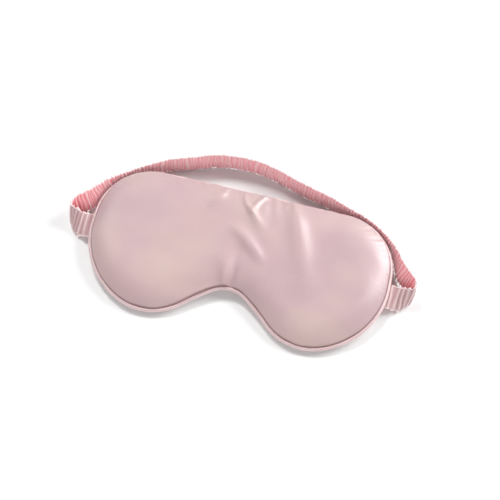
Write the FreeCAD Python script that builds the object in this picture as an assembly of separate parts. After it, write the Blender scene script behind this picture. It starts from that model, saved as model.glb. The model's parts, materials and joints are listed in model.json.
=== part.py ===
import FreeCAD, Part
import math
import os

# A padded satin sleep eye mask with piping round its edge and a ruched elastic strap.
# It rests on its back with the strap standing on edge behind the upper rim.
# Millimetres. +X is to the wearer's left, +Y to the upper rim, +Z away from the face.
# The origin is on the resting surface, at the centre of the whole mask's plan.

# ---- driving dimensions ------------------------------------------------------------------

# Pad. The pad lies in its own plane, which leans back so that the upper rim is higher.
PAD_Y = -10.8              # where the pad's plane origin stands, from the overall centre
RIM_HEIGHT = 8.2           # height of the pad's plane there
PAD_TILT = 5.5             # degrees, about X
NOTCH_Y = -24.5            # middle of the nose notch, in the pad's plane
# Right half of the outer edge, from the nose notch round to the top: (radius, turn).
# A negative turn is a hollow curve. The last arc takes what is left of the half turn.
NOTCH_ARC = (17.7, -35.4)
FLANK_ARC = (171.0, -7.7)
LOBE_ARC = (37.6, 66.0)
LOWER_SIDE_ARC = (56.2, 66.5)
UPPER_SIDE_ARC = (119.0, 5.4)
CORNER_RADIUS = 38.5

FRONT_BULGE = 6.6          # padding in front of the pad's plane
BACK_BULGE = 9.0           # padding behind it, pressed flat where the mask rests
SATIN = 0.6                # panel cloth with its seam allowance
LINING = 0.6               # blackout lining in the pad's plane
REST_PLANE = 0.0

# Piping: a cord in a bias strip, all round the seam.
PIPING_RADIUS = 1.5
CORD_RADIUS = 0.9
PIPING_LIFT = 0.6          # the piping's centre stands this much in front of the seam
THREAD_RADIUS = 0.25
THREAD_INSET = 1.85        # from the piping's centre line
LINING_INSET = 2.2

# Strap: an elastic in a ruched sleeve, sewn flat into each side seam.
STRAP_WIDTH = 17.0
STRAP_THICK = 2.8
SLEEVE_WALL = 0.5
ELASTIC_MARGIN = 1.6       # between the elastic's edge and the sleeve's
ELASTIC_THICK = 1.2
SEAM_GAP = 0.4             # between the sewn end and the moving strap
STRETCH_GAP = 0.5          # between the side and back lengths of the strap
STAND_CLEAR = 0.25         # the strap's lower edge above the resting surface
DROP_LENGTH = 11.0         # the strap comes down from the seam to that surface in this length

END_Y = -1.5               # middle of the strap's sewn ends, in the pad's plane
END_DEEP = 9.0             # how far the ends go into the pad
END_REACH = 104.0          # where they stop, from the middle
END_THICK = 1.8
TACK_LONG = 13.0
TACK_WIDE = 0.9
TACK_THICK = 0.3
TACK_INSETS = (1.4, 3.4)   # from the inner end of the strap's end, short of the piping

# The strap's centre line in plan, from the left seam round behind the pad to the right
# seam: (x, distance behind the seams' hinge line, width of the gathered sleeve, turn,
# skew). The turn is 0 where the strap lies flat and 90 where it stands on edge; past 90
# its upper edge leans away from the pad. The skew is how far its upper edge runs ahead of
# its lower edge where it folds round. Both are in degrees.
HINGE_Y = PAD_Y + END_Y * math.cos(math.radians(PAD_TILT))
STRAP_START = END_REACH + SEAM_GAP
STRAP_LEFT = [
    (-STRAP_START, 0.0, 17.0, 0, 0), (-109.3, 0.0, 16.0, 24, 4), (-114.6, 1.8, 16.4, 56, 14),
    (-118.1, 5.4, 17.0, 84, 24), (-117.2, 9.8, 16.6, 103, 15), (-113.6, 14.6, 16.0, 110, 6),
    (-108.2, 20.8, 15.0, 108, 2), (-102.7, 29.6, 14.2, 98, 0), (-95.8, 38.6, 13.4, 92, 0),
    (-88.2, 45.1, 12.8, 90, 0), (-80.8, 50.4, 13.4, 90, 0), (-72.6, 55.0, 14.6, 90, 0),
]
STRAP_BACK = [
    (-64.0, 59.6, 15.6, 90, 0), (-54.0, 63.2, 16.2, 90, 0), (-44.0, 67.0, 16.5, 90, 0),
    (-34.0, 71.0, 16.5, 90, 0), (-22.0, 73.4, 16.5, 90, 0), (-9.0, 73.9, 16.5, 90, 0),
    (4.0, 72.4, 16.5, 90, 0), (17.0, 68.6, 16.5, 90, 0), (30.0, 64.4, 16.5, 90, 0),
    (43.0, 61.1, 16.2, 90, 0), (54.0, 58.2, 15.6, 90, 0), (64.0, 54.8, 14.8, 90, 0),
]
STRAP_RIGHT = [
    (73.6, 52.2, 13.6, 90, 0), (82.2, 48.8, 12.8, 90, 0), (89.8, 44.0, 12.8, 90, 0),
    (97.1, 37.5, 13.2, 91, 0), (103.4, 28.4, 14.0, 98, 0), (108.0, 19.0, 15.2, 109, -2),
    (113.8, 12.4, 16.0, 112, -7), (117.2, 8.0, 16.6, 104, -17), (117.7, 3.8, 17.0, 83, -27),
    (114.0, 0.9, 16.2, 56, -12), (109.0, 0.0, 15.8, 24, -4), (STRAP_START, 0.0, 17.0, 0, 0),
]
SECTIONS_PER_SPAN = 2

# ---- plain helpers -----------------------------------------------------------------------

Vec = FreeCAD.Vector
UP = Vec(0, 0, 1)


def rotated(v, degrees):
    """v turned about +Z."""
    c, s = math.cos(math.radians(degrees)), math.sin(math.radians(degrees))
    return Vec(v.x * c - v.y * s, v.x * s + v.y * c, v.z)


def smooth(t):
    """0 to 1 with flat ends."""
    t = max(0.0, min(1.0, t))
    return t * t * (3.0 - 2.0 * t)


def to_world(shape):
    """Takes a shape from the pad's plane to where the pad lies."""
    placed = shape.copy()
    placed.Placement = FreeCAD.Placement(
        Vec(0, PAD_Y, RIM_HEIGHT), FreeCAD.Rotation(Vec(1, 0, 0), PAD_TILT)
    ).multiply(placed.Placement)
    return placed


def above(height):
    """All the room above a level plane."""
    size = 400.0
    return Part.makeBox(size, size, size, Vec(-size / 2, -size / 2, height))


def box_between(low, high):
    return Part.makeBox(high.x - low.x, high.y - low.y, high.z - low.z, low)


# ---- the pad's outline -------------------------------------------------------------------


def half_outline():
    """The right half of the outer edge as arcs: (centre, radius, turn, start, heading)."""
    arcs = [NOTCH_ARC, FLANK_ARC, LOBE_ARC, LOWER_SIDE_ARC, UPPER_SIDE_ARC]
    arcs.append((CORNER_RADIUS, 180.0 - sum(turn for _, turn in arcs)))
    point, heading, found = Vec(0, NOTCH_Y, 0), 0.0, []
    for radius, turn in arcs:
        side = math.copysign(1.0, turn)
        centre = point + rotated(Vec(0, side * radius, 0), heading)
        found.append((centre, radius, turn, point, heading))
        point = centre + rotated(point - centre, turn)
        heading += turn
    return found, point


HALF_ARCS, HALF_END = half_outline()


def inset_point(arc, share, inset):
    """A point part of the way along an arc, moved towards the inside of the pad."""
    centre, radius, turn, start, heading = arc
    point = centre + rotated(start - centre, turn * share)
    inward = rotated(Vec(0, 1, 0), heading + turn * share)
    return point + inward * inset


def mirrored(point):
    return Vec(-point.x, point.y, point.z)


def outline_wire(inset, level):
    """The whole outline as exact arcs and one straight top edge."""
    edges = []
    lift = Vec(0, 0, level)
    for arc in HALF_ARCS:
        ends = [inset_point(arc, share, inset) for share in (0.0, 0.5, 1.0)]
        for points in (ends, [mirrored(p) for p in ends]):
            edges.append(Part.Arc(*[p + lift for p in points]).toShape())
    top = HALF_END + Vec(0, -inset, level)
    edges.append(Part.makeLine(top, mirrored(top)))
    return Part.Wire(Part.__sortEdges__(edges))


def outline_points():
    """Evenly spread points of the piping's centre line, all round."""
    half = []
    for arc in HALF_ARCS:
        steps = max(3, round(arc[1] * math.radians(abs(arc[2])) / 8.0))
        half += [inset_point(arc, k / steps, PIPING_RADIUS) for k in range(steps)]
    half.append(inset_point(HALF_ARCS[-1], 1.0, PIPING_RADIUS))
    top = half[-1]
    half += [Vec(top.x * share, top.y, 0) for share in (0.72, 0.44, 0.2)]
    return half + [mirrored(p) for p in reversed(half[1:])]


OUTLINE = outline_points()


def spine_point(rim):
    """The middle of the padding opposite a point of the rim."""
    x = 0.6 * rim.x
    return Vec(x, 12.0 - 14.0 * smooth(abs(x) / 50.0), 0)


# ---- the pad's layers --------------------------------------------------------------------

# (share of the way to the middle, share of the full bulge)
SWELL = [(0.0, 0.0), (0.05, 0.3), (0.14, 0.58), (0.3, 0.84), (0.55, 1.0)]


def pillow(side, bulge, inset):
    """A closed half pillow on one side of the lining: side is 1 in front, -1 behind."""
    base = LINING / 2
    loops = []
    for share, height in SWELL:
        points = []
        for rim in OUTLINE:
            inward = spine_point(rim) - rim
            start = rim + inward * (inset / inward.Length)
            level = side * (base + (bulge - inset - base) * height)
            points.append(start + inward * (share * (1.0 - inset / inward.Length)) + UP * level)
        curve = Part.BSplineCurve()
        curve.interpolate(Points=points, PeriodicFlag=True)
        loops.append(Part.Wire([curve.toShape()]))
    solid = Part.makeLoft(loops, True, False)
    if solid.Volume < 0:
        solid.reverse()
    return solid


def ring_tube(radius, inset, level):
    """A tube that follows the outline, built arc by arc."""
    pieces = []
    lift = Vec(0, 0, level)
    for arc in HALF_ARCS:
        start, after = inset_point(arc, 0.0, inset) + lift, arc[0] + lift
        along = rotated(Vec(1, 0, 0), arc[4])
        disc = Part.Face(Part.Wire([Part.makeCircle(radius, start, along)]))
        tube = disc.revolve(after, UP, arc[2])
        pieces.append(tube)
        pieces.append(tube.mirror(Vec(0, 0, 0), Vec(1, 0, 0)))
    top = HALF_END + Vec(0, -inset, level)
    pieces.append(Part.makeCylinder(radius, 2 * top.x, mirrored(top), Vec(1, 0, 0)))
    return pieces[0].multiFuse(pieces[1:]).removeSplitter()


def strap_end_box(side, margin, thick):
    """The strap's sewn end, or the elastic in it, flat under the piping."""
    half = (STRAP_WIDTH - 2 * margin) / 2
    top = PIPING_LIFT - PIPING_RADIUS
    middle = top - END_THICK / 2
    inner, outer = END_REACH - END_DEEP, END_REACH
    low, high = sorted((side * inner, side * outer))
    return box_between(
        Vec(low, END_Y - half, middle - thick / 2), Vec(high, END_Y + half, middle + thick / 2)
    )


def strap_tack(side):
    """Two bars of thread across the strap's sewn end, inside the pad."""
    base = PIPING_LIFT - PIPING_RADIUS
    bars = []
    for inset in TACK_INSETS:
        x = side * (END_REACH - END_DEEP + inset)
        bars.append(box_between(
            Vec(x - TACK_WIDE / 2, END_Y - TACK_LONG / 2, base),
            Vec(x + TACK_WIDE / 2, END_Y + TACK_LONG / 2, base + TACK_THICK),
        ))
    return Part.makeCompound(bars)


def pad_pieces():
    piping = ring_tube(PIPING_RADIUS, PIPING_RADIUS, PIPING_LIFT)
    cord = ring_tube(CORD_RADIUS, PIPING_RADIUS, PIPING_LIFT)
    thread = ring_tube(THREAD_RADIUS, PIPING_RADIUS + THREAD_INSET, 0.0)
    lining = Part.Face(outline_wire(PIPING_RADIUS + LINING_INSET, -LINING / 2))
    lining = lining.extrude(Vec(0, 0, LINING))

    ends, tacks, sewn = {}, {}, []
    for name, side in (("left", -1), ("right", 1)):
        whole = strap_end_box(side, 0.0, END_THICK)
        elastic = strap_end_box(side, ELASTIC_MARGIN, ELASTIC_THICK - 0.4)
        tack = strap_tack(side)
        ends["strap_end_" + name] = to_world(whole.cut(elastic))
        ends["elastic_end_" + name] = to_world(elastic)
        tacks["strap_tack_" + name] = to_world(tack)
        sewn += [to_world(whole), to_world(tack)]

    front = pillow(1, FRONT_BULGE, 0.0)
    front_fill = pillow(1, FRONT_BULGE, SATIN)
    back = to_world(pillow(-1, BACK_BULGE, 0.0)).common(above(REST_PLANE))
    back_fill = to_world(pillow(-1, BACK_BULGE, SATIN)).common(above(REST_PLANE + SATIN))
    tube = to_world(piping)
    pieces = {
        "front_panel": to_world(front.cut(front_fill)).cut(tube),
        "padding_front": to_world(front_fill).cut(tube),
        "blackout_lining": to_world(lining),
        "padding_back": back_fill.cut([tube] + sewn),
        "back_panel": back.cut(back_fill).cut([tube] + sewn),
        "piping_cover": to_world(piping.cut(cord)),
        "piping_cord": to_world(cord),
        "seam_thread": to_world(thread),
    }
    pieces.update(ends)
    pieces.update(tacks)
    return pieces


# ---- the strap ---------------------------------------------------------------------------


def strap_stations():
    """Frames along the strap: centre, width direction, thickness direction and width."""
    route = STRAP_LEFT + STRAP_BACK + STRAP_RIGHT
    curve = Part.BSplineCurve()
    points = [Vec(row[0], HINGE_Y + row[1], 0) for row in route]
    curve.interpolate(Points=points)
    knots = [curve.parameter(point) for point in points]
    whole = curve.length()
    seam_height = RIM_HEIGHT + PIPING_LIFT - PIPING_RADIUS - END_THICK / 2
    spans = len(route) - 1
    stations = []
    for k in range(spans * SECTIONS_PER_SPAN + 1):
        span = min(k // SECTIONS_PER_SPAN, spans - 1)
        share = k / SECTIONS_PER_SPAN - span
        at = knots[span] * (1 - share) + knots[span + 1] * share
        width, turn, skew = [
            route[span][column] * (1 - share) + route[span + 1][column] * share
            for column in (2, 3, 4)
        ]
        turn, skew = math.radians(turn), math.radians(skew)
        along = curve.tangent(at)[0] if 0 < k < spans * SECTIONS_PER_SPAN else Vec(-1, 0, 0)
        beside = Vec(along.y, -along.x, 0)
        upright = beside * math.cos(turn) + UP * math.sin(turn)
        wide = upright * math.cos(skew) + along * math.sin(skew)
        thick = along.cross(upright)
        run = curve.length(curve.FirstParameter, at)
        standing = smooth(min(run, whole - run) / DROP_LENGTH)
        reach = width / 2 * wide.z + STRAP_THICK / 2 * abs(thick.z)
        height = (STAND_CLEAR + reach) * standing + seam_height * (1 - standing)
        stations.append((curve.value(at) + UP * height, wide, thick, width, along))
    return stations


def section(station, margin, thickness):
    """The outline of the band across one station."""
    centre, wide, thick, width, _ = station
    a, b = wide * (width / 2 - margin), thick * (thickness / 2)
    corners = [centre + a + b, centre - a + b, centre - a - b, centre + a - b]
    return Part.makePolygon(corners + corners[:1])


def closed_solid(faces):
    shell = Part.makeShell(faces)
    shell.sewShape()
    solid = Part.makeSolid(shell)
    if solid.Volume < 0:
        solid.reverse()
    return solid


def band(stations, margin, thickness):
    """A solid band through the stations."""
    wires = [section(station, margin, thickness) for station in stations]
    caps = [Part.Face(wires[0]), Part.Face(wires[-1])]
    return closed_solid(Part.makeLoft(wires, False, True).Faces + caps)


def sleeve(stations, wall):
    """An open-ended sleeve through the stations."""
    outer = [section(station, 0.0, STRAP_THICK) for station in stations]
    inner = [section(station, wall, STRAP_THICK - 2 * wall) for station in stations]
    faces = Part.makeLoft(outer, False, True).Faces + Part.makeLoft(inner, False, True).Faces
    for end in (0, -1):
        faces.append(Part.makeFace([outer[end], inner[end]], "Part::FaceMakerBullseye"))
    return closed_solid(faces)


def shortened(stations, at_start, at_end):
    """The same stations with the first or last moved inward along the strap."""
    moved = list(stations)
    for index, gap in ((0, at_start), (-1, -at_end)):
        centre, wide, thick, width, along = moved[index]
        moved[index] = (centre + along * gap, wide, thick, width, along)
    return moved


def strap_pieces():
    stations = strap_stations()
    first = len(STRAP_LEFT) * SECTIONS_PER_SPAN - SECTIONS_PER_SPAN // 2
    last = (len(STRAP_LEFT) + len(STRAP_BACK) - 1) * SECTIONS_PER_SPAN + SECTIONS_PER_SPAN // 2
    half = STRETCH_GAP / 2
    lengths = {
        "left": shortened(stations[: first + 1], 0.0, half),
        "back": shortened(stations[first : last + 1], half, half),
        "right": shortened(stations[last:], half, 0.0),
    }
    pieces = {}
    for name, part in lengths.items():
        pieces["sleeve_" + name] = sleeve(part, SLEEVE_WALL)
        pieces["elastic_" + name] = band(part, ELASTIC_MARGIN, ELASTIC_THICK)
    return pieces


def main():
    os.makedirs("parts", exist_ok=True)
    pieces = pad_pieces()
    pieces.update(strap_pieces())
    for name, shape in pieces.items():
        if not shape.isValid() or len(shape.Solids) == 0:
            raise RuntimeError(name + " is not a sound solid")
        shape.exportStep("parts/" + name + ".step")
    box = Part.makeCompound(list(pieces.values())).optimalBoundingBox(False)
    print("box", [round(v, 2) for v in (box.XMin, box.XMax, box.YMin, box.YMax, box.ZMin, box.ZMax)])
    for name, shape in pieces.items():
        print(name, len(shape.Solids), "solids", round(shape.Volume / 1000.0, 2), "cm3")


main()
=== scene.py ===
import json
import math

import bpy
import numpy as np
from mathutils import Matrix, Vector


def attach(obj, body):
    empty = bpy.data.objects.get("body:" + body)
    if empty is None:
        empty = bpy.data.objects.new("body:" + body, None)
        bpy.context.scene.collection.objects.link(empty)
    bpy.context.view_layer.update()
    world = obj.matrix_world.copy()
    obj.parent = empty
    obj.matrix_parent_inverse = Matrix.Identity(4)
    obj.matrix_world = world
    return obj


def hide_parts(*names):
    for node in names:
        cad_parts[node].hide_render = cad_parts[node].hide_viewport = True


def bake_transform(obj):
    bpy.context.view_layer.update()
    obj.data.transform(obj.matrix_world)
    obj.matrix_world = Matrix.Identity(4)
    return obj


# A padded satin sleep eye mask: two satin panels over wadding, piping all round, and a
# ruched satin strap that leaves the two side seams and stands on edge behind the pad.
# Shapes are worked out in millimetres and turned into metres when a mesh is made.

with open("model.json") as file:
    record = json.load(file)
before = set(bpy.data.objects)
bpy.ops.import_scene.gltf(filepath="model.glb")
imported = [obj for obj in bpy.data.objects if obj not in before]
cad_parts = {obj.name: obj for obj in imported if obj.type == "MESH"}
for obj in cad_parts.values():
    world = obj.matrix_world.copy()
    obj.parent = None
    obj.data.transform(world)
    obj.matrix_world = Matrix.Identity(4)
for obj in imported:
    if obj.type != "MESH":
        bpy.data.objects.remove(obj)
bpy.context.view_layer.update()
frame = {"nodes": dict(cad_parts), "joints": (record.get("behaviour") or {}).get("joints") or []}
JOINTS = {joint["name"]: joint for joint in frame["joints"]}
MM = 0.001

# ---- driving dimensions, as in the CAD model ---------------------------------------------

PAD_Y = -10.8
RIM_HEIGHT = 8.2
PAD_TILT = math.radians(5.5)
NOTCH_Y = -24.5
HALF_ARCS = ((17.7, -35.4), (171.0, -7.7), (37.6, 66.0), (56.2, 66.5), (119.0, 5.4), (38.5, 85.2))
PIPING_RADIUS = 1.5
PIPING_LIFT = 0.6
HINGE_Y = JOINTS["strap_swing"]["pos_m"][1] / MM
HINGE_Z = JOINTS["strap_swing"]["pos_m"][2] / MM
STAND_CLEAR = 0.25

# The strap's centre line in plan, from inside one seam to inside the other: (x, distance
# behind the hinge line, width of the gathered sleeve, turn, skew). The turn is 0 where the
# strap lies flat and 90 where it stands on edge; past 90 its upper edge leans away from the
# pad. The skew is how far its upper edge runs ahead of its lower edge. Both in degrees.
STRAP_ROUTE = (
    (-95.0, 0.0, 16.6, 0, 0), (-99.5, 0.0, 16.8, 0, 0), (-104.4, 0.0, 17.0, 4, 0),
    (-109.3, 0.0, 16.4, 24, 4), (-114.6, 1.8, 16.4, 56, 14), (-118.1, 5.4, 17.0, 84, 24),
    (-117.2, 9.8, 16.6, 103, 15), (-113.4, 14.4, 16.2, 114, 6), (-107.6, 20.4, 15.6, 117, 2),
    (-102.5, 29.4, 14.4, 104, 0), (-95.8, 38.6, 13.4, 92, 0), (-88.2, 45.1, 12.8, 90, 0),
    (-80.8, 50.4, 13.4, 90, 0), (-72.6, 55.0, 14.6, 90, 0), (-64.0, 59.6, 15.6, 90, 0),
    (-54.0, 63.2, 16.2, 90, 0), (-44.0, 67.0, 16.5, 90, 0), (-34.0, 71.0, 16.5, 90, 0),
    (-22.0, 73.4, 16.5, 90, 0), (-9.0, 73.9, 16.5, 90, 0), (4.0, 72.4, 16.5, 90, 0),
    (17.0, 68.6, 16.5, 90, 0), (30.0, 64.4, 16.5, 90, 0), (43.0, 61.1, 16.2, 90, 0),
    (54.0, 58.2, 15.6, 90, 0), (64.0, 54.8, 14.8, 90, 0), (73.6, 52.2, 13.6, 90, 0),
    (82.2, 48.8, 12.8, 90, 0), (89.8, 44.0, 12.8, 90, 0), (97.1, 37.5, 13.2, 91, 0),
    (103.4, 28.4, 14.0, 98, 0), (108.0, 19.0, 15.2, 109, -2), (113.8, 12.4, 16.0, 112, -7),
    (117.2, 8.0, 16.6, 104, -17), (117.7, 3.8, 17.0, 83, -27), (114.0, 0.9, 16.2, 56, -12),
    (109.0, 0.0, 16.2, 24, -4), (104.4, 0.0, 17.0, 4, 0), (99.5, 0.0, 16.8, 0, 0),
    (95.0, 0.0, 16.6, 0, 0),
)

# ---- small helpers -----------------------------------------------------------------------


def smooth(t):
    """0 to 1 with flat ends."""
    t = np.clip(t, 0.0, 1.0)
    return t * t * (3.0 - 2.0 * t)


def noise(x, y, seed):
    """Smooth random values from -1 to 1 on a lattice of whole numbers."""
    side = 128
    table = np.random.default_rng(seed).uniform(-1.0, 1.0, (side, side))
    x, y = np.broadcast_arrays(np.asarray(x, float), np.asarray(y, float))
    ix, iy = np.floor(x).astype(int), np.floor(y).astype(int)
    fx, fy = smooth(x - ix), smooth(y - iy)
    ax, bx, ay, by = ix % side, (ix + 1) % side, iy % side, (iy + 1) % side
    low = table[ax, ay] * (1 - fx) + table[bx, ay] * fx
    high = table[ax, by] * (1 - fx) + table[bx, by] * fx
    return low * (1 - fy) + high * fy


def spline(points, count):
    """Rows evenly spread along a natural cubic spline through the points, and its length."""
    points = np.asarray(points, float)
    chord = np.linalg.norm(np.diff(points[:, :2], axis=0), axis=1)
    knots = np.concatenate([[0.0], np.cumsum(chord)])
    n = len(points)
    system, right = np.eye(n), np.zeros_like(points)
    for k in range(1, n - 1):
        before, after = chord[k - 1], chord[k]
        system[k, k - 1 : k + 2] = before, 2 * (before + after), after
        right[k] = 6 * ((points[k + 1] - points[k]) / after - (points[k] - points[k - 1]) / before)
    bend = np.linalg.solve(system, right)

    def at(s):
        k = np.clip(np.searchsorted(knots, s, side="right") - 1, 0, n - 2)
        h = chord[k][:, None]
        a = (knots[k + 1] - s)[:, None]
        b = (s - knots[k])[:, None]
        return (
            (bend[k] * a**3 + bend[k + 1] * b**3) / (6 * h)
            + (points[k] / h - bend[k] * h / 6) * a
            + (points[k + 1] / h - bend[k + 1] * h / 6) * b
        )

    fine = np.linspace(0.0, knots[-1], 6000)
    step = np.linalg.norm(np.diff(at(fine)[:, :2], axis=0), axis=1)
    run = np.concatenate([[0.0], np.cumsum(step)])
    return at(np.interp(np.linspace(0.0, run[-1], count), run, fine)), run[-1]


def to_row(points):
    """Points of the pad's own plane, in mm, to the row frame, in mm."""
    x, y, z = points[..., 0], points[..., 1], points[..., 2]
    c, s = math.cos(PAD_TILT), math.sin(PAD_TILT)
    return np.stack([x, PAD_Y + y * c - z * s, RIM_HEIGHT + y * s + z * c], axis=-1)


def make_mesh(name, points, faces, values=None):
    """A smooth mesh object from points in mm, with one float attribute for each of values."""
    mesh = bpy.data.meshes.new(name)
    mesh.from_pydata((np.asarray(points) * MM).tolist(), [], [list(map(int, f)) for f in faces])
    mesh.validate()
    mesh.polygons.foreach_set("use_smooth", [True] * len(mesh.polygons))
    for key, numbers in (values or {}).items():
        layer = mesh.attributes.new(key, "FLOAT", "POINT")
        layer.data.foreach_set("value", np.asarray(numbers, np.float32).ravel())
    piece = bpy.data.objects.new(name, mesh)
    bpy.context.scene.collection.objects.link(piece)
    return piece


def grid_faces(rows, columns, closed=False):
    """Quads of a grid of points, row by row. closed joins the last column to the first."""
    faces = []
    for r in range(rows - 1):
        for c in range(columns if closed else columns - 1):
            d = (c + 1) % columns
            a, b = r * columns, (r + 1) * columns
            faces.append((a + c, a + d, b + d, b + c))
    return faces


def closed_sheet(outer, inner, side):
    """Points and faces of the closed form between two grids, turned over for the back."""
    rows, columns = outer.shape[:2]
    count = rows * columns
    faces = grid_faces(rows, columns)
    under = [tuple(count + v for v in reversed(face)) for face in faces]
    border = (
        list(range(columns))
        + [r * columns + columns - 1 for r in range(1, rows)]
        + [(rows - 1) * columns + c for c in range(columns - 2, -1, -1)]
        + [r * columns for r in range(rows - 2, 0, -1)]
    )
    rim = [
        (before, count + before, count + here, here)
        for before, here in zip(border[-1:] + border[:-1], border)
    ]
    faces = faces + under + rim
    if side < 0:
        faces = [tuple(reversed(face)) for face in faces]
    return np.concatenate([outer.reshape(-1, 3), inner.reshape(-1, 3)]), faces


def angle_gap(turn, where):
    """How far apart two angles are, the short way round."""
    return np.abs((turn - where + math.pi) % (2 * math.pi) - math.pi)


# ---- the pad's outline -------------------------------------------------------------------

OUTLINE_STEP = 0.4
EDGE_COUNT = 1400


def half_outline(inset, step):
    """The right half of the outer edge, moved inwards, from the notch to the top."""
    point, heading, found = np.array([0.0, NOTCH_Y]), 0.0, []
    for radius, turn in HALF_ARCS:
        turn, side = math.radians(turn), math.copysign(1.0, turn)
        centre = point + side * radius * np.array([-math.sin(heading), math.cos(heading)])
        count = max(2, round(radius * abs(turn) / step))
        for k in range(count):
            angle = heading + turn * k / count
            outward = np.array([math.sin(angle), -math.cos(angle)])
            found.append(centre + (side * radius - inset) * outward)
        heading += turn
        point = centre + side * radius * np.array([math.sin(heading), -math.cos(heading)])
    top = np.array([point[0], point[1] - inset])
    count = round(top[0] / step)
    found += [np.array([top[0] * (1 - k / count), top[1]]) for k in range(count)]
    return np.array(found + [np.array([0.0, top[1]])])


def outline(inset, count):
    """Evenly spread points of the whole edge, moved inwards."""
    right = half_outline(inset, OUTLINE_STEP)
    whole = np.concatenate([right, right[-2:0:-1] * [-1.0, 1.0], right[:1]])
    run = np.concatenate([[0.0], np.cumsum(np.linalg.norm(np.diff(whole, axis=0), axis=1))])
    at = np.linspace(0.0, run[-1], count, endpoint=False)
    return np.stack([np.interp(at, run, whole[:, k]) for k in (0, 1)], axis=1)


def outward_of(line):
    """Unit directions out of a closed line that runs anticlockwise."""
    along = np.roll(line, -1, axis=0) - np.roll(line, 1, axis=0)
    along /= np.linalg.norm(along, axis=1, keepdims=True)
    return np.stack([along[:, 1], -along[:, 0]], axis=1)


EDGE = outline(PIPING_RADIUS, EDGE_COUNT)
EDGE_OUTWARD = outward_of(EDGE)


def edge_distance(x, y):
    """How far inside the piping's centre line each point is, and which way is outwards."""
    flat = np.stack([x.ravel(), y.ravel()], axis=1)
    nearest, outward = np.empty(len(flat)), np.empty_like(flat)
    batch = 4000
    for first in range(0, len(flat), batch):
        some = slice(first, first + batch)
        part = EDGE[None, :, :] - flat[some, None, :]
        square = (part**2).sum(-1)
        best = square.argmin(1)
        index = np.arange(len(best))
        nearest[some] = np.sqrt(square[index, best])
        outward[some] = EDGE_OUTWARD[best]
    return nearest.reshape(x.shape), outward.reshape(x.shape + (2,))


PAD_MIDDLE = 12.0          # the whole edge is in sight of this point of the centre line
PAD_STRETCH = 2.0          # the grid is drawn out sideways, as the pad is
GRID_CROWDING = 1.45       # above 1 the grid is finer near the piping


def pad_grid(columns, rows):
    """A square grid of points drawn out to the pad's outline."""
    def spread(n):
        t = np.linspace(-1.0, 1.0, n)
        return np.sign(t) * (1 - (1 - np.abs(t)) ** GRID_CROWDING)

    u, v = np.meshgrid(spread(columns), spread(rows))
    u, v = u * np.sqrt(1 - v * v / 2), v * np.sqrt(1 - u * u / 2)
    share, angle = np.hypot(u, v), np.arctan2(v, u)
    rim_x, rim_y = EDGE[:, 0] / PAD_STRETCH, EDGE[:, 1] - PAD_MIDDLE
    rim_angle = np.arctan2(rim_y, rim_x)
    order = np.argsort(rim_angle)
    reach = np.interp(angle, rim_angle[order], np.hypot(rim_x, rim_y)[order], period=2 * math.pi)
    x = PAD_STRETCH * share * reach * np.cos(angle)
    y = PAD_MIDDLE + share * reach * np.sin(angle)
    return x, y


# ---- how the satin panels swell and pucker -----------------------------------------------

FRONT_SWELL = 7.6
BACK_SWELL = 9.4
FRONT_REACH = 25.0         # from the seam to where the panel is at its full height
BACK_REACH = 26.0
PANEL_START = 0.3          # height of the panels' sewn edges, inside the piping
BELLY = 1.5                # how far the front panel bellies out over the piping at the top
UPPER_START = 8.0          # the upper part of the pad begins here on the centre line
UPPER_BLEND = 26.0
GATHER_BEATS = 22.0        # gathers to half a turn round the pad
SATIN_THICK = 0.35
PANEL_GRID = (261, 171)
WADDING_GRID = (91, 61)
WADDING_UNDER = 1.0        # how far the wadding stays inside the satin
WADDING_BASE = 0.02        # where the wadding starts, from the lining
SHRINK_REACH = 60.0
REST_GAP = 0.05            # between the mask and the surface that it rests on
REST_EASE = 1.2            # how softly the back panel flattens on it
# Soft ridges of each panel: points (x, y, height, half width) along each. A height below
# nought makes a crease.
FRONT_RIDGES = (
    ((27.0, 46.5, 1.4, 2.2), (30.5, 38.0, 2.1, 4.2), (35.0, 24.0, 2.5, 6.6),
     (40.0, 9.0, 2.3, 7.4), (45.0, -9.0, 0.9, 8.5)),
    ((-6.5, 45.0, 0.5, 1.5), (-3.6, 36.5, 1.6, 2.0), (1.2, 31.7, 1.8, 2.6),
     (6.3, 25.4, 1.3, 3.4), (11.9, 19.3, 0.2, 4.2)),
    ((7.5, 45.5, 1.2, 1.4), (3.6, 39.2, 1.7, 1.9), (1.2, 31.7, 0.9, 2.6)),
    ((-11.5, 21.0, 0.1, 4.0), (-4.0, 15.5, 1.3, 4.0), (3.5, 9.5, 1.9, 4.2),
     (10.5, 3.6, 1.7, 3.8), (17.5, -4.0, 0.1, 3.4)),
    ((-18.5, 45.5, 1.0, 1.8), (-21.0, 40.5, 1.6, 3.0), (-26.0, 34.5, 1.1, 5.0),
     (-31.0, 29.5, 0.1, 6.0)),
    ((-5.0, -22.5, 1.2, 1.8), (-6.6, -13.0, 1.2, 3.4), (-8.4, -2.0, 0.6, 5.0),
     (-8.0, 8.0, 0.0, 5.0)),
    ((-8.5, -23.5, 0.5, 2.0), (-18.0, -31.0, 1.0, 2.8), (-27.0, -38.0, 0.8, 3.4),
     (-38.0, -44.0, 0.0, 3.0)),
    ((0.4, -22.5, -1.3, 1.6), (0.0, -12.0, -1.2, 2.4), (0.6, 0.0, -0.3, 3.4)),
    ((19.0, 44.5, -1.0, 2.4), (22.0, 31.0, -0.8, 4.0), (26.0, 12.0, -0.3, 5.0)),
    ((62.0, -40.0, 0.0, 5.0), (76.0, -26.0, 0.8, 6.0), (87.0, -10.0, 0.6, 6.0),
     (90.0, 6.0, 0.0, 6.0)),
    ((-62.0, -16.0, 0.0, 6.0), (-50.0, 5.0, 0.5, 9.0), (-36.0, 24.0, 0.1, 8.0)),
    ((12.0, 44.5, -0.8, 2.2), (14.0, 34.0, -0.8, 3.6), (19.0, 20.0, -0.2, 4.4)),
)
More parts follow.
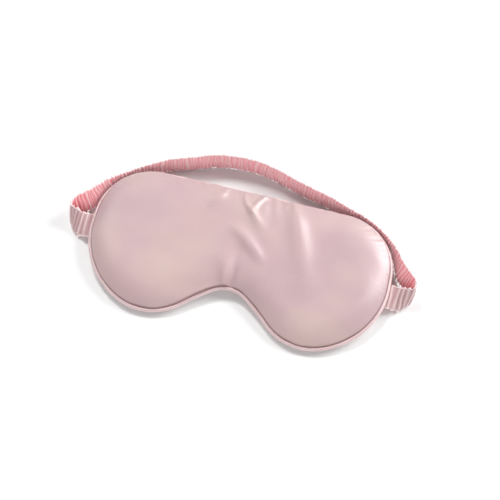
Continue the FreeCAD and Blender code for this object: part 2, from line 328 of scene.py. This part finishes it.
BACK_RIDGES = (
    ((0.0, -22.5, -0.8, 1.8), (0.4, -8.0, -0.7, 2.8), (-0.6, 8.0, -0.3, 4.0)),
    ((-32.0, 46.0, 0.9, 1.5), (-36.0, 34.0, 0.8, 3.0), (-42.0, 18.0, 0.3, 4.5)),
    ((22.0, 46.0, 0.8, 1.5), (20.0, 36.0, 0.8, 2.4), (14.0, 22.0, 0.3, 4.0)),
    ((6.0, -22.0, 0.8, 1.8), (12.0, -8.0, 0.6, 3.4), (20.0, 8.0, 0.1, 5.0)),
    ((-72.0, -41.0, 0.7, 1.8), (-64.0, -28.0, 0.6, 3.2), (-52.0, -14.0, 0.1, 5.0)),
    ((88.0, -26.0, 0.7, 1.8), (76.0, -18.0, 0.5, 3.4), (60.0, -8.0, 0.1, 5.0)),
)
# Where the satin's pink is warmest: (x, y, radius).
WARM_SPOTS = ((9.0, -12.0, 13.0), (-42.0, -30.0, 18.0), (-88.0, -2.0, 14.0), (52.0, -36.0, 14.0))


def ridge_height(x, y, ridge):
    """A ridge, or a crease where its height is negative, along a bent line."""
    route, _ = spline(ridge, 40)
    height, weight = np.zeros_like(x), np.full(x.shape, np.inf)
    for px, py, top, wide in route:
        away = ((x - px) ** 2 + (y - py) ** 2) / max(wide, 0.5) ** 2
        nearer = away < weight
        weight = np.where(nearer, away, weight)
        height = np.where(nearer, top * np.exp(-away), height)
    return height


def upper_share(y):
    """0 over the lower part of the pad and 1 along its upper rim."""
    return smooth((y - UPPER_START) / UPPER_BLEND)


def shrunk(x, y, under):
    """Points of the pad's plane drawn in towards its middle, for a form inside the cloth."""
    share = 1 - under / SHRINK_REACH
    return x * share, PAD_MIDDLE + (y - PAD_MIDDLE) * share


def gathers(x, y, inside, seed):
    """Fine puckers square to the seam, where the panel is sewn to the piping."""
    turn = np.arctan2(y - PAD_MIDDLE, x / PAD_STRETCH)
    beat = GATHER_BEATS * turn / math.pi
    wave = noise(beat * 4 + 40, 3.5, seed) + 0.5 * noise(beat * 9 + 11, 8.5, seed + 1)
    reach = 7.0 + 5.0 * noise(beat * 2 + 5, 1.5, seed + 2)
    fade = smooth(inside / 1.2) * np.exp(-((inside / reach) ** 2))
    return (0.07 + 0.2 * upper_share(y)) * wave * fade


def swell(x, y, inside, side):
    """Height of a panel over the pad's plane, before it is turned over for the back."""
    top, reach = (FRONT_SWELL, FRONT_REACH) if side > 0 else (BACK_SWELL, BACK_REACH)
    t = np.clip(inside / reach, 0.0, 1.0)
    round_edge = (1 - (1 - t) ** 3.0) ** 0.62
    height = PANEL_START * side + top * round_edge
    seed = 10 if side > 0 else 50
    soft = smooth(inside / 16.0)
    height += soft * 0.5 * noise(x / 31 + 9, y / 26 + 4, seed)
    height += soft * 0.2 * noise(x / 13 + 3, y / 11 + 7, seed + 3)
    held = smooth(inside / 1.6)
    for ridge in FRONT_RIDGES if side > 0 else BACK_RIDGES:
        height += held * ridge_height(x, y, ridge)
    return height + gathers(x, y, inside, seed + 5)


def panel_points(columns, rows, side, under=0.0):
    """Grid of points on a panel in the row frame; under is how far inside the cloth."""
    x, y = pad_grid(columns, rows)
    inside, outward = edge_distance(x, y)
    z = side * np.maximum(swell(x, y, inside, side) - under, 0.05)
    if under > 0.0:
        x, y = shrunk(x, y, under)
    elif side > 0:
        scallop = 1.0 + 0.5 * noise(x / 9.0 + 30, 2.5, 61) + 0.35 * noise(x / 3.6 + 8, 4.5, 62)
        belly = BELLY * (0.25 + 0.75 * upper_share(y)) * scallop
        belly = belly * np.exp(-(((inside - 1.5) / 1.7) ** 2)) * smooth(inside / 0.9)
        x, y = x + outward[..., 0] * belly, y + outward[..., 1] * belly
    points = to_row(np.stack([x, y, z], axis=-1))
    if side < 0:
        floor = REST_GAP + under
        low = points[..., 2] - floor
        eased = REST_EASE * np.exp((np.minimum(low, REST_EASE) - REST_EASE) / REST_EASE)
        pressed = 0.6 * eased + 0.4 * low.clip(0.0)
        points[..., 2] = floor + np.where(low > REST_EASE, low, pressed)
    return points, inside


def outward_normals(points, side):
    """Unit normals of a grid of points, away from the wadding."""
    across = np.gradient(points, axis=1)
    along = np.gradient(points, axis=0)
    normal = np.cross(across, along) * side
    return normal / np.linalg.norm(normal, axis=-1, keepdims=True)


def make_panel(name, side):
    """One satin panel as a thin closed sheet."""
    outer, inside = panel_points(*PANEL_GRID, side)
    inner = outer - outward_normals(outer, side) * SATIN_THICK
    points, faces = closed_sheet(outer, inner, side)
    # Painted shade: the panel's colour darkens along the fold where it meets the piping.
    fold_shade = np.tile(np.exp(-((inside.ravel() - 0.9) / 0.55).clip(0) ** 2), 2)
    x, y = pad_grid(*PANEL_GRID)
    warm = 0.5 * noise(x / 24 + 5, y / 20 + 3, 81) + 0.18 * noise(x / 9 + 5, y / 8 + 3, 82)
    for at_x, at_y, wide in WARM_SPOTS:
        warm += 0.7 * np.exp(-((x - at_x) ** 2 + (y - at_y) ** 2) / wide**2)
    return make_mesh(name, points, faces, {"fold_shade": fold_shade, "warm": np.tile(warm.ravel(), 2)})


def make_wadding(name, side):
    """The wadding on one side of the lining: a crowned closed pad under the panel."""
    outer, _ = panel_points(*WADDING_GRID, side, WADDING_UNDER)
    x, y = shrunk(*pad_grid(*WADDING_GRID), WADDING_UNDER)
    base = to_row(np.stack([x, y, np.full(x.shape, WADDING_BASE * side)], axis=-1))
    return make_mesh(name, *closed_sheet(outer, base, side))


# ---- the piping --------------------------------------------------------------------------

PIPING_SOFT = 1.25         # the piping's radius, pressed slimmer than its full round
PIPING_RISE = 0.35         # the piping's centre over the pad's plane
PIPING_COUNT = 1500
PIPING_AROUND = 28
PIPING_STEP = 0.37         # of the noise along the piping, from one section to the next
SEAM_ANGLE = 0.86 * math.pi    # where the strip is stitched down
CREASE_ANGLE = 0.3 * math.pi   # a pressed line beside the panel


def make_piping():
    """The satin strip wrapped round its cord, all round the seam."""
    line = outline(PIPING_SOFT, PIPING_COUNT)
    outward = outward_of(line)
    turn = 2 * math.pi * np.arange(PIPING_AROUND) / PIPING_AROUND
    run = np.arange(PIPING_COUNT)[:, None] * PIPING_STEP
    swirl = noise(run / 3.1, turn[None, :] * 0.7 + run / 9.0, 71)
    lumps = noise(run / 11.0, 0.5, 72)
    radius = PIPING_SOFT * (1.0 + 0.045 * swirl + 0.04 * lumps)
    seam = angle_gap(turn[None, :], SEAM_ANGLE)
    crease = angle_gap(turn[None, :] - CREASE_ANGLE, 0.1 * lumps)
    radius = radius - 0.12 * np.exp(-((seam / 0.25) ** 2)) - 0.1 * np.exp(-((crease / 0.16) ** 2))
    x = line[:, 0:1] + outward[:, 0:1] * radius * np.cos(turn)
    y = line[:, 1:2] + outward[:, 1:2] * radius * np.cos(turn)
    z = PIPING_RISE + radius * np.sin(turn)
    points = to_row(np.stack([x, y, z], axis=-1)).reshape(-1, 3)
    # Painted shade in the stitched line and the pressed crease.
    shaded = np.maximum(np.exp(-((seam / 0.45) ** 2)), 0.55 * np.exp(-((crease / 0.2) ** 2)))
    faces = grid_faces(PIPING_COUNT, PIPING_AROUND, closed=True)
    last = (PIPING_COUNT - 1) * PIPING_AROUND
    for c in range(PIPING_AROUND):
        d = (c + 1) % PIPING_AROUND
        faces.append((last + c, last + d, d, c))
    faces = [tuple(reversed(face)) for face in faces]
    return make_mesh("piping", points, faces, {"fold_shade": shaded})


# ---- the strap ---------------------------------------------------------------------------

STRAP_THICK = 2.5
END_THICK = 1.7
DROP_START = 9.4           # the strap comes down to the surface from here on
DROP_LENGTH = 11.0
THICKEN_START = 7.0        # from its sewn end to where the strap starts to thicken
THICKEN_LENGTH = 10.0
SECTION_STEP = 0.3
SECTION_POINTS = 52
LOWEST = 0.05              # the ruched sleeve's lowest point over the surface
ROOT_LENGTH = 19.0         # the piece that bends at the seam
PLEAT_HEIGHT = 0.95
PLEAT_SPACING = 3.5        # beside the seams
PLEAT_TIGHTER = 1.15       # how much closer the pleats are behind the pad


def strap_frames():
    """Centre, along, wide and out directions, width and run of closely spaced sections."""
    route, length = spline(STRAP_ROUTE, 8)
    count = round(length / SECTION_STEP)
    route, _ = spline(STRAP_ROUTE, count)
    run = np.linspace(0.0, length, count)
    plan, width = route[:, :2] + [0.0, HINGE_Y], route[:, 2]
    along = np.gradient(plan, axis=0)
    along /= np.linalg.norm(along, axis=1, keepdims=True)
    near = np.minimum(run, length - run)
    standing = smooth((near - DROP_START) / DROP_LENGTH)[:, None]
    turn, skew = np.radians(route[:, 3:4]), np.radians(route[:, 4:5])
    turn = turn + PAD_TILT * (1 - standing)
    flat = np.concatenate([along, np.zeros((count, 1))], axis=1)
    beside = np.stack([along[:, 1], -along[:, 0], np.zeros(count)], axis=1)
    upright = beside * np.cos(turn) + np.array([0.0, 0.0, 1.0]) * np.sin(turn)
    wide = upright * np.cos(skew) + flat * np.sin(skew)
    out = np.cross(upright, flat)
    thick = END_THICK + (STRAP_THICK - END_THICK) * smooth((near - THICKEN_START) / THICKEN_LENGTH)
    reach = width / 2 * wide[:, 2] + thick / 2 * np.abs(out[:, 2])
    standing = standing[:, 0]
    height = (STAND_CLEAR + reach) * standing + HINGE_Z * (1 - standing)
    centre = np.concatenate([plan, height[:, None]], axis=1)
    return centre, flat, wide, out, width, thick, run, near


def pleat_waves(run, near, across, seed):
    """Height, from 0 in a valley to 1 on a ridge, of the gathers of one face."""
    away = smooth((near - 16.0) / 26.0)
    mean = PLEAT_SPACING - PLEAT_TIGHTER * away
    beat = np.cumsum(np.concatenate([[0.0], np.diff(run)]) / mean)
    beat = beat + 0.4 * noise(run / 3.7, 0.5, seed) + 0.8 * noise(run / 13.0, 2.5, seed + 1)
    beat, away = beat[:, None], away[:, None]
    wander = (0.1 + 0.26 * away) * noise(run[:, None] / 4.2, across * 1.6 + 20, seed + 2)
    lean = (0.15 + 0.35 * away) * across * noise(run[:, None] / 16.0, 0.5, seed + 3)
    low = beat + wander + lean
    high = low + 0.5 * away * smooth(0.5 + 1.4 * noise(run[:, None] / 9.0, 5.5, seed + 4))
    mix = smooth(0.5 + 1.5 * (across - 0.35 * noise(run[:, None] / 5.0, 9.5, seed + 5)))

    def ridges(phase):
        whole = np.floor(phase)
        strength = 0.75 + 0.25 * noise(whole * 1.37 + 0.5, 0.5, seed + 6)
        return np.abs(np.sin(math.pi * phase)) ** (1.7 - 0.9 * away) * strength

    return ridges(low) * (1 - mix) + ridges(high) * mix


def strap_surface():
    """Points of the whole ruched sleeve, section by section, and its colour attributes."""
    centre, along, wide, out, width, thick, run, near = strap_frames()
    turn = 2 * math.pi * (np.arange(SECTION_POINTS) + 0.5) / SECTION_POINTS
    c, s = np.cos(turn), np.sin(turn)
    across = (np.sign(c) * np.abs(c) ** 0.55)[None, :]
    depth = (np.sign(s) * np.abs(s) ** 0.6)[None, :]
    outer = pleat_waves(run, near, across, 300)
    inner = pleat_waves(run, near, across, 340)
    face = smooth(0.5 + 1.2 * depth)
    wave = outer * face + inner * (1 - face)
    freed = smooth((near - 6.5) / 8.0)[:, None]
    puff = 1.0 - 0.35 * across**2
    half_thick = thick[:, None] / 2 * puff * 0.55 + (0.3 + 0.7 * freed) * PLEAT_HEIGHT * wave
    frill = 1.5 * (wave - 0.6) + 0.5 * noise(run[:, None] / 1.3, across * 3, 380)
    teeth = (0.2 + 0.8 * freed) * frill
    half_wide = width[:, None] / 2 + teeth * np.abs(across) ** 4
    skew = 0.6 * freed * (wave - 0.5) * noise(run[:, None] / 2.0, depth + 4, 390)
    points = (
        centre[:, None, :]
        + wide[:, None, :] * (across * half_wide)[..., None]
        + out[:, None, :] * (depth * half_thick)[..., None]
        + along[:, None, :] * skew[..., None]
    )
    points[..., 2] = np.maximum(points[..., 2], LOWEST)
    # Masks for painted light: the pleat valleys for painted shade and the ridges for painted
    # highlights, both edges for a painted highlight, the inner face and the back run for painted
    # bounce light.
    values = {
        "fold_shade": np.clip(1.0 - wave / 0.85, 0.0, 1.0),
        "inward": np.broadcast_to(smooth(0.5 - 1.5 * depth), wave.shape),
        "edge_highlight": np.broadcast_to(smooth((np.abs(across) - 0.9) / 0.09), wave.shape),
        "seamward": np.broadcast_to(1 - smooth((near[:, None] - 22.0) / 30.0), wave.shape),
    }
    return points, values


def strap_piece(name, surface, first, last, cap_first, cap_last):
    """A length of the sleeve, closed at the ends that are asked for."""
    points, values = surface
    part, count = points[first : last + 1], last + 1 - first
    faces = grid_faces(count, SECTION_POINTS, closed=True)
    flat = part.reshape(-1, 3)
    if cap_first:
        faces.append(tuple(range(SECTION_POINTS))[::-1])
    if cap_last:
        start = (count - 1) * SECTION_POINTS
        faces.append(tuple(range(start, start + SECTION_POINTS)))
    values = {key: numbers[first : last + 1].ravel() for key, numbers in values.items()}
    return make_mesh(name, flat, faces, values)


# ---- materials ---------------------------------------------------------------------------


def node_material(name):
    """A material with its nodes, its links and its Principled shader."""
    material = bpy.data.materials.new(name)
    material.use_nodes = True
    nodes = material.node_tree.nodes
    links = material.node_tree.links
    return material, nodes, links, nodes["Principled BSDF"]


def noise_node(nodes, links, scale, detail, stretch=(1.0, 1.0, 1.0)):
    """A noise texture in object space, drawn out by stretch."""
    place = nodes.new("ShaderNodeTexCoord")
    drawn = nodes.new("ShaderNodeMapping")
    drawn.inputs["Scale"].default_value = stretch
    texture = nodes.new("ShaderNodeTexNoise")
    texture.inputs["Scale"].default_value = scale
    texture.inputs["Detail"].default_value = detail
    links.new(place.outputs["Object"], drawn.inputs["Vector"])
    links.new(drawn.outputs["Vector"], texture.inputs["Vector"])
    return texture


def mix_colour(nodes, links, share, low, high):
    """low where share is 0 and high where it is 1; either is a colour or an output."""
    mix = nodes.new("ShaderNodeMix")
    mix.data_type = "RGBA"
    links.new(share, mix.inputs["Factor"])
    for socket, value in ((mix.inputs["A"], low), (mix.inputs["B"], high)):
        if isinstance(value, tuple):
            socket.default_value = (*value, 1.0)
        else:
            links.new(value, socket)
    return mix.outputs["Result"]


def mapped(nodes, links, value, low, high, to_low, to_high):
    """The value with the span low to high taken to the span to_low to to_high."""
    ramp = nodes.new("ShaderNodeMapRange")
    ramp.inputs["From Min"].default_value = low
    ramp.inputs["From Max"].default_value = high
    ramp.inputs["To Min"].default_value = to_low
    ramp.inputs["To Max"].default_value = to_high
    links.new(value, ramp.inputs["Value"])
    return ramp.outputs["Result"]


def attribute(nodes, name):
    """One of the mesh's float attributes, as an output."""
    node = nodes.new("ShaderNodeAttribute")
    node.attribute_name = name
    return node.outputs["Fac"]


def blended(nodes, links, layers):
    """A colour built up in layers: a first colour, then (share, colour) pairs over it."""
    colour = layers[0]
    for share, over in layers[1:]:
        colour = mix_colour(nodes, links, share, colour, over)
    return colour


def satin(name, layers, rough, weave_turn):
    """Woven satin with a soft broad sheen and a fine weave. layers maps nodes to colours."""
    material, nodes, links, shader = node_material(name)
    colour = blended(nodes, links, layers(nodes, links))
    slub = noise_node(nodes, links, 420.0, 2.0, weave_turn)
    tint = mapped(nodes, links, slub.outputs["Fac"], 0.35, 0.65, 0.0, 0.025)
    colour = mix_colour(nodes, links, tint, colour, (0.95, 0.86, 0.86))
    links.new(colour, shader.inputs["Base Color"])
    gloss = mapped(nodes, links, slub.outputs["Fac"], 0.3, 0.7, rough - 0.01, rough + 0.02)
    links.new(gloss, shader.inputs["Roughness"])
    weave = noise_node(nodes, links, 2600.0, 1.0, weave_turn)
    bump = nodes.new("ShaderNodeBump")
    bump.inputs["Strength"].default_value = 0.03
    bump.inputs["Distance"].default_value = 0.0001
    links.new(weave.outputs["Fac"], bump.inputs["Height"])
    links.new(bump.outputs["Normal"], shader.inputs["Normal"])
    shader.inputs["Specular IOR Level"].default_value = 1.0
    shader.inputs["Sheen Weight"].default_value = 0.3
    shader.inputs["Sheen Roughness"].default_value = 0.4
    shader.inputs["Sheen Tint"].default_value = (1.0, 0.92, 0.94, 1.0)
    return material


def panel_layers(nodes, links):
    """Pale pink, cooler in clouds, warmer in spots, with painted shade in the fold at the piping.
    """
    clouds = noise_node(nodes, links, 30.0, 1.0)
    cool = mapped(nodes, links, clouds.outputs["Fac"], 0.35, 0.7, 0.0, 0.8)
    warm = mapped(nodes, links, attribute(nodes, "warm"), 0.0, 1.0, 0.0, 1.0)
    fold_shade = mapped(nodes, links, attribute(nodes, "fold_shade"), 0.1, 1.0, 0.0, 0.9)
    return [
        (0.545, 0.38, 0.384), (cool, (0.49, 0.34, 0.364)),
        (warm, (0.58, 0.435, 0.40)), (fold_shade, (0.18, 0.075, 0.08)),
    ]


def piping_layers(nodes, links):
    """Pale pink with soft clouds, with painted shade in the stitched line and the crease."""
    clouds = noise_node(nodes, links, 60.0, 2.0)
    share = mapped(nodes, links, clouds.outputs["Fac"], 0.35, 0.68, 0.0, 1.0)
    fold_shade = mapped(nodes, links, attribute(nodes, "fold_shade"), 0.1, 1.0, 0.0, 0.9)
    return [(0.80, 0.60, 0.605), (share, (0.74, 0.54, 0.54)), (fold_shade, (0.26, 0.11, 0.12))]


def strap_layers(nodes, links):
    """Pale pink outside; coral inside and behind the pad as painted bounce light between the
    pleats; painted highlights on the ridges and edges; painted shade in the valleys.
    """
    inward = attribute(nodes, "inward")
    away = mapped(nodes, links, attribute(nodes, "seamward"), 0.0, 1.0, 1.0, 0.0)
    # Painted highlight on the pleat ridges and painted shade in the pleat valleys.
    ridge = mapped(nodes, links, attribute(nodes, "fold_shade"), 0.0, 0.35, 1.0, 0.0)
    valley_shade = mapped(nodes, links, attribute(nodes, "fold_shade"), 0.25, 1.0, 0.0, 1.0)
    # A painted highlight along both edges of the strap.
    edge_highlight = mapped(nodes, links, attribute(nodes, "edge_highlight"), 0.0, 1.0, 0.0, 0.75)
    # The coral inside and along the back run is painted bounce light from between the pleats; the
    # pale outer face is the satin's own colour.
    plain = mix_colour(nodes, links, inward, (0.60, 0.41, 0.41), (0.93, 0.31, 0.34))
    plain = mix_colour(nodes, links, away, plain, (0.98, 0.52, 0.55))
    # Painted highlight colour for the ridges, then painted shade colour for the valleys.
    light = mix_colour(nodes, links, inward, (0.80, 0.62, 0.62), (0.97, 0.61, 0.63))
    valley_shade_colour = mix_colour(nodes, links, inward, (0.47, 0.27, 0.28), (0.80, 0.15, 0.18))
    valley_shade_colour = mix_colour(nodes, links, away, valley_shade_colour, (0.90, 0.28, 0.32))
    return [plain, (ridge, light), (valley_shade, valley_shade_colour), (edge_highlight, (0.97, 0.86, 0.86))]


def matt_cloth(name, light, dark, scale, bump_height):
    """Plain matt cloth, wadding or thread with a visible fibre grain."""
    material, nodes, links, shader = node_material(name)
    fibre = noise_node(nodes, links, scale, 4.0)
    colour = mix_colour(nodes, links, fibre.outputs["Fac"], dark, light)
    links.new(colour, shader.inputs["Base Color"])
    bump = nodes.new("ShaderNodeBump")
    bump.inputs["Strength"].default_value = 0.5
    bump.inputs["Distance"].default_value = bump_height
    links.new(fibre.outputs["Fac"], bump.inputs["Height"])
    links.new(bump.outputs["Normal"], shader.inputs["Normal"])
    shader.inputs["Roughness"].default_value = 0.9
    shader.inputs["Sheen Weight"].default_value = 0.15
    return material


def dress(piece, material):
    """Gives a piece this one material."""
    piece.data.materials.clear()
    piece.data.materials.append(material)


# ---- camera, lights and floor ------------------------------------------------------------

CAMERA_ELEVATION = math.radians(62.0)
CAMERA_AZIMUTH = math.radians(9.67)
CAMERA_ROLL = math.radians(4.81)
CAMERA_DISTANCE = 0.7
CAMERA_TARGET = Vector((0.0053, 0.0012, -0.0005))
CAMERA_LENS = 74.12        # mm
CAMERA_SENSOR = 36.0
# Round softboxes: name, place, width, power and whether it shows in reflections.
LIGHTS = (
    ("key", (-0.5, 0.62, 1.0), 0.36, 8.4, False),
    ("left", (-0.62, 0.5, 1.0), 0.8, 2.0, True),
    ("right", (0.74, 0.62, 0.6), 0.7, 12.0, True),
    ("front", (0.1, -1.0, 0.6), 0.9, 6.8, False),
)
SKY_STRENGTH = 0.22
FLOOR_REACH = 3000.0       # mm each way


def make_camera():
    """The camera, turned round its target by azimuth, elevation and roll."""
    e, a, r = CAMERA_ELEVATION, CAMERA_AZIMUTH, CAMERA_ROLL
    back = Vector((math.sin(a) * math.cos(e), -math.cos(a) * math.cos(e), math.sin(e)))
    level = Vector((math.cos(a), math.sin(a), 0.0))
    upright = back.cross(level)
    right = level * math.cos(r) + upright * math.sin(r)
    up = upright * math.cos(r) - level * math.sin(r)
    data = bpy.data.cameras.new("camera")
    data.lens = CAMERA_LENS
    data.sensor_width = CAMERA_SENSOR
    data.clip_start = 0.01
    camera = bpy.data.objects.new("camera", data)
    turn = Matrix((right, up, back)).transposed().to_4x4()
    camera.matrix_world = Matrix.Translation(CAMERA_TARGET + back * CAMERA_DISTANCE) @ turn
    bpy.context.scene.collection.objects.link(camera)
    bpy.context.scene.camera = camera


def make_light(name, place, size, power, glossy):
    """A round softbox aimed at the mask."""
    data = bpy.data.lights.new(name, "AREA")
    data.shape = "DISK"
    data.size = size
    data.energy = power
    lamp = bpy.data.objects.new(name, data)
    lamp.location = place
    lamp.visible_glossy = glossy
    lamp.rotation_euler = (-Vector(place)).to_track_quat("-Z", "Y").to_euler()
    bpy.context.scene.collection.objects.link(lamp)


def make_floor():
    """A plain pale floor."""
    size = FLOOR_REACH
    corners = [(-size, -size, 0), (size, -size, 0), (size, size, 0), (-size, size, 0)]
    floor = make_mesh("floor", corners, [(0, 1, 2, 3)])
    material, nodes, links, shader = node_material("studio_paper")
    grain = noise_node(nodes, links, 300.0, 3.0)
    tone = mix_colour(nodes, links, grain.outputs["Fac"], (0.88, 0.88, 0.88), (0.9, 0.9, 0.9))
    links.new(tone, shader.inputs["Base Color"])
    shader.inputs["Roughness"].default_value = 0.9
    shader.inputs["Specular IOR Level"].default_value = 0.1
    dress(floor, material)


def make_studio():
    """Camera, lights, sky and floor."""
    make_camera()
    for light in LIGHTS:
        make_light(*light)
    world = bpy.data.worlds.new("studio")
    world.use_nodes = True
    sky = world.node_tree.nodes["Background"]
    sky.inputs["Color"].default_value = (1.0, 1.0, 1.0, 1.0)
    sky.inputs["Strength"].default_value = SKY_STRENGTH
    bpy.context.scene.world = world
    bpy.context.scene.view_settings.view_transform = "Standard"
    make_floor()


# ---- putting it together -----------------------------------------------------------------


def make_pad():
    """The two panels, the wadding under each, and the piping."""
    panel_satin = satin("panel_satin", panel_layers, 0.41, (1.0, 3.5, 1.0))
    piping_satin = satin("piping_satin", piping_layers, 0.42, (2.0, 2.0, 1.0))
    fluff = matt_cloth("wadding_fibre", (0.93, 0.92, 0.90), (0.80, 0.79, 0.77), 220.0, 0.0006)
    for name, side in (("front", 1), ("back", -1)):
        panel = make_panel("satin_" + name, side)
        wadding = make_wadding("wadding_" + name, side)
        dress(panel, panel_satin)
        dress(wadding, fluff)
        for piece in (panel, wadding):
            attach(piece, "mask")
        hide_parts(name + "_panel")
        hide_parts("padding_" + name)
    piping = make_piping()
    dress(piping, piping_satin)
    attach(piping, "mask")
    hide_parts("piping_cover")


def make_strap():
    """The ruched strap: a root that bends at each seam, and the ring between them."""
    strap_satin = satin("strap_satin", strap_layers, 0.45, (2.0, 2.0, 1.0))
    surface = strap_surface()
    count = len(surface[0])
    root = round(ROOT_LENGTH / SECTION_STEP)
    lengths = {
        "strap_root_left": (0, root, True, False),
        "strap_ring": (root, count - 1 - root, False, False),
        "strap_root_right": (count - 1 - root, count - 1, False, True),
    }
    pieces = {name: strap_piece(name, surface, *ends) for name, ends in lengths.items()}
    for piece in pieces.values():
        dress(piece, strap_satin)
    for name, side in (("left", -1), ("right", 1)):
        piece = pieces["strap_root_" + name]
        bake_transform(piece)
        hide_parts("strap_end_" + name, "elastic_end_" + name)
    ring = pieces["strap_ring"]
    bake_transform(ring)
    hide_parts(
        "sleeve_left", "sleeve_right", "sleeve_back",
        "elastic_left", "elastic_right", "elastic_back",
    )


def dress_hidden_nodes():
    """The CAD pieces that stay: those sealed between the panels."""
    thread = matt_cloth("sewing_thread", (0.62, 0.38, 0.40), (0.45, 0.25, 0.27), 2500.0, 0.0001)
    finishes = {
        "blackout_lining": matt_cloth(
            "blackout_cloth", (0.05, 0.05, 0.06), (0.02, 0.02, 0.02), 1500.0, 0.0001
        ),
        "piping_cord": matt_cloth(
            "cotton_cord", (0.90, 0.87, 0.82), (0.70, 0.66, 0.60), 1200.0, 0.0002
        ),
        "seam_thread": thread,
        "strap_tack_left": thread,
        "strap_tack_right": thread,
    }
    for name, material in finishes.items():
        dress(frame["nodes"][name], material)


make_studio()
make_pad()
make_strap()
dress_hidden_nodes()
bpy.context.view_layer.update()
